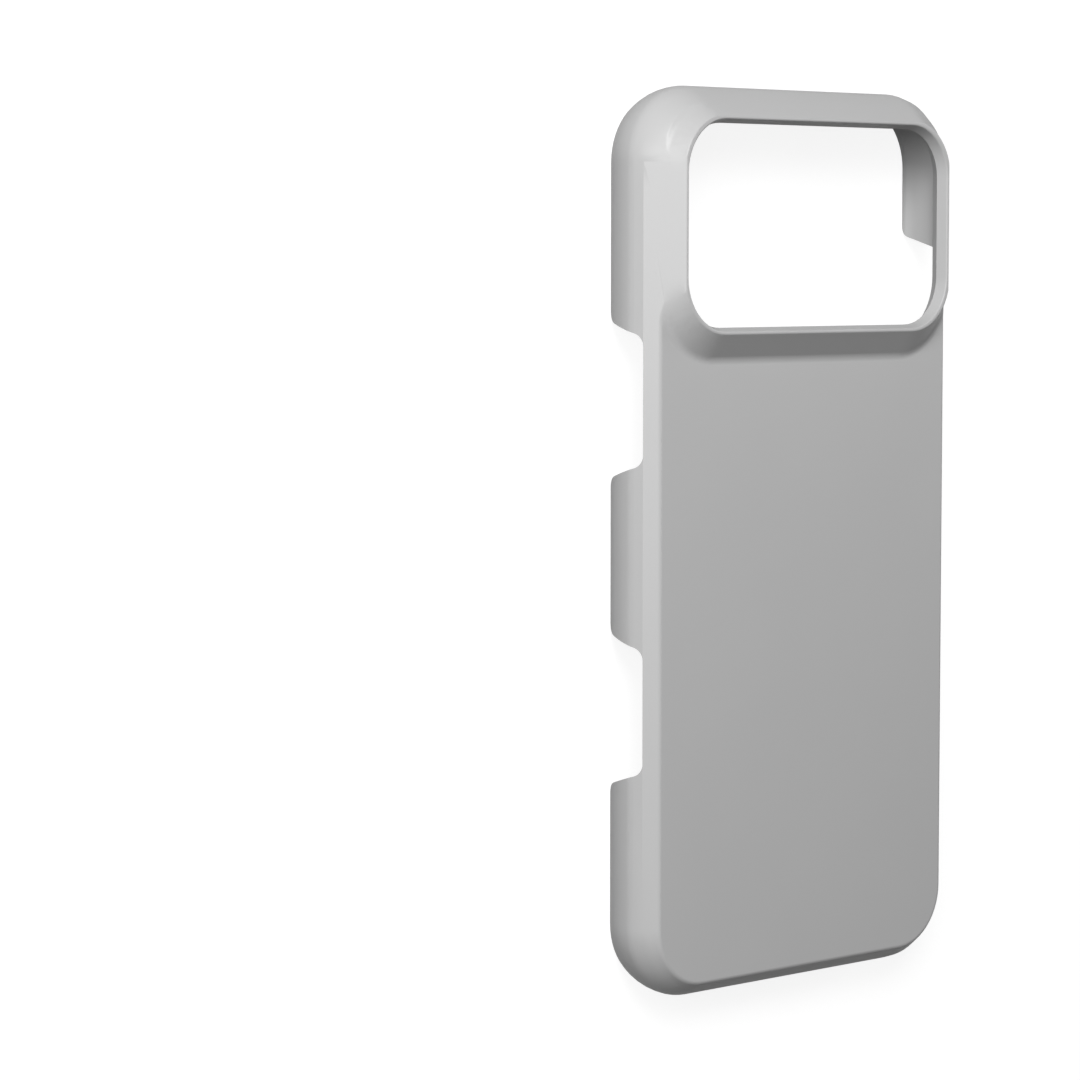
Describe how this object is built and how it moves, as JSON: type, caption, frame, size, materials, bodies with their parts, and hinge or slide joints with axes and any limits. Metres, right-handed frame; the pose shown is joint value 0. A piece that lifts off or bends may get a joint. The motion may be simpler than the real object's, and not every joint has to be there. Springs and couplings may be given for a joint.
{
  "type": "clip-on phone case",
  "caption": "Hard plastic shell that clips over the back and sides of a large phone, with a raised frame round a camera window and side openings for buttons and port.",
  "frame": {"origin": "under the middle of the case, on the plane that its lip rests on", "axes": "+Y towards the camera end, +Z out of the back, X across the phone with the long button opening on +X"},
  "size_m": [0.0818, 0.1672, 0.0155],
  "materials": {
    "shell": "satin"
  },
  "bodies": {
    "root": {"case_shell": "shell"}
  },
  "joints": []
}
